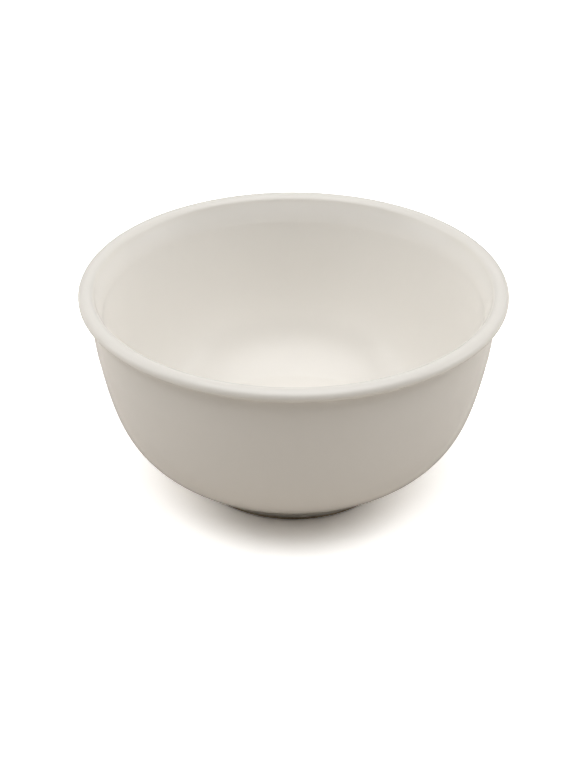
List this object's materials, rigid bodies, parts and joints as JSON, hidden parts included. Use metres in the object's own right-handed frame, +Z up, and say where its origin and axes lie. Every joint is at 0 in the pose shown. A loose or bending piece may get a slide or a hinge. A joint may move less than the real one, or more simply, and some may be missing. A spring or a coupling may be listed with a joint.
{
  "type": "shaving bowl",
  "caption": "Round glazed ceramic shaving bowl with a rolled lip, a shallow neck under it, a flat well inside and a low foot ring.",
  "frame": {"origin": "centre of the ring that the foot stands on, at the height of the table", "axes": "+Z up along the bowl's axis of revolution; X and Y are any two directions across it"},
  "size_m": [0.12, 0.12, 0.0604],
  "materials": {
    "bare_clay": "unglazed fired clay, fine-grained and matt, seen only on the ring that the foot stands on",
    "ivory_glaze": "warm white glaze, clear and glossy, with faint orange peel"
  },
  "bodies": {
    "root": {"bowl_body": "bare_clay", "glaze_coat": "ivory_glaze", "underside_glaze": "ivory_glaze"}
  },
  "joints": []
}
